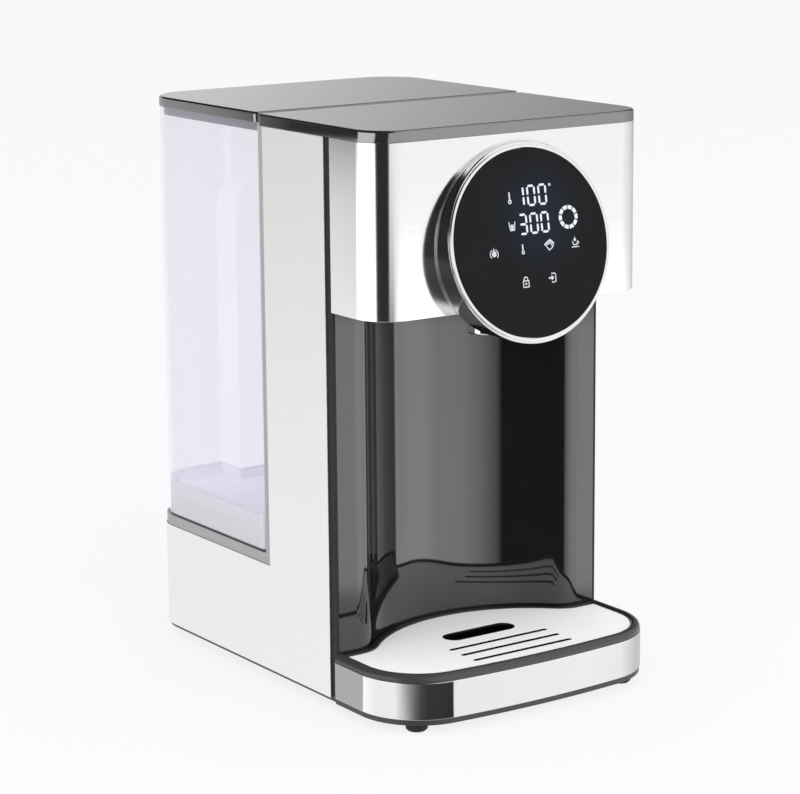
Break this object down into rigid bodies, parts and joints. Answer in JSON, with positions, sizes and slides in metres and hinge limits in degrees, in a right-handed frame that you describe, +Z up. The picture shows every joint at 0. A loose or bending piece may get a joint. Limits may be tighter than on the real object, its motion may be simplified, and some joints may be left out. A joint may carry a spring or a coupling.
{
  "type": "hot water dispenser",
  "caption": "Countertop hot water dispenser with a lift-off rear tank, a round touch panel on a steel head, a scooped column and a D-shaped drip tray.",
  "frame": {"origin": "middle of the footprint, on the surface that the feet stand on", "axes": "+Z up, the control panel and drip tray face -Y, +X to the right seen from the front"},
  "size_m": [0.182, 0.2646, 0.322],
  "materials": {
    "brushed_steel": "fine horizontal brushing",
    "chrome": "polished",
    "gloss_dark": "high gloss",
    "smoked_gloss": "smoked, high gloss",
    "dark_plastic": "fine moulded texture",
    "gray_plastic": "fine moulded texture",
    "tank_clear": "translucent, lavender tint",
    "black_glass": "polished black touch glass",
    "rubber": "matte",
    "silicone": "satin",
    "white_plastic": "satin",
    "board": "solder mask",
    "wire": "satin",
    "heater_metal": "as cast",
    "bright_steel": "plated"
  },
  "bodies": {
    "housing": {"left_side_panel": "brushed_steel", "right_side_panel": "brushed_steel", "head_band": "brushed_steel", "tray_band": "brushed_steel", "disc_drum": "chrome", "disc_ring": "chrome", "spout_nozzle": "chrome", "top_cover": "gloss_dark", "left_corner_post": "gloss_dark", "right_corner_post": "gloss_dark", "column_front": "smoked_gloss", "base": "dark_plastic", "tray_base": "dark_plastic", "head_shell": "dark_plastic", "rear_cover": "dark_plastic", "cable_gland": "dark_plastic", "tank_bay": "gray_plastic", "tank_socket": "gray_plastic", "control_glass": "black_glass", "feet": "rubber", "pump_cradle": "rubber", "socket_seal": "silicone", "inlet_hose": "silicone", "feed_hose": "silicone", "hot_hose": "silicone", "display_frame": "white_plastic", "steam_separator": "white_plastic", "pump_head": "white_plastic", "display_board": "board", "power_board": "board", "wire_harness": "wire", "flow_heater": "heater_metal", "base_screws": "bright_steel", "rear_screws": "bright_steel", "heater_bracket": "bright_steel", "thermostat": "bright_steel", "outlet_sensor": "bright_steel", "pump_motor": "bright_steel"},
    "water_tank": {"tank_shell": "tank_clear", "valve_cage": "white_plastic", "tank_filter": "white_plastic", "valve_spring": "bright_steel"},
    "tank_lid": {"tank_lid": "gloss_dark"},
    "tank_valve": {"valve_plunger": "white_plastic", "valve_seal": "silicone"},
    "drip_tub": {"drip_tub": "dark_plastic"},
    "drip_plate": {"drip_plate": "brushed_steel"},
    "pump_rotor": {"pump_impeller": "white_plastic"}
  },
  "joints": [
    {"name": "tank_lift", "type": "slide", "parent": "housing", "child": "water_tank", "axis": [0, 0, 1], "range_m": [0, 0.06]},
    {"name": "lid_lift", "type": "slide", "parent": "water_tank", "child": "tank_lid", "axis": [0, 0, 1], "range_m": [0, 0.03]},
    {"name": "valve_slide", "type": "slide", "parent": "water_tank", "child": "tank_valve", "axis": [0, 0, 1], "range_m": [-0.004, 0], "deforming": ["valve_spring"]},
    {"name": "tub_lift", "type": "slide", "parent": "housing", "child": "drip_tub", "axis": [0, 0, 1], "range_m": [0, 0.04]},
    {"name": "plate_lift", "type": "slide", "parent": "drip_tub", "child": "drip_plate", "axis": [0, 0, 1], "range_m": [0, 0.02]},
    {"name": "pump_spin", "type": "hinge", "parent": "housing", "child": "pump_rotor", "pos_m": [-0.048, 0.051, 0.031], "axis": [1, 0, 0], "continuous": true}
  ],
  "couplings": [
    {"joint": "valve_slide", "follows": "tank_lift", "ratio": -0.066667}
  ]
}
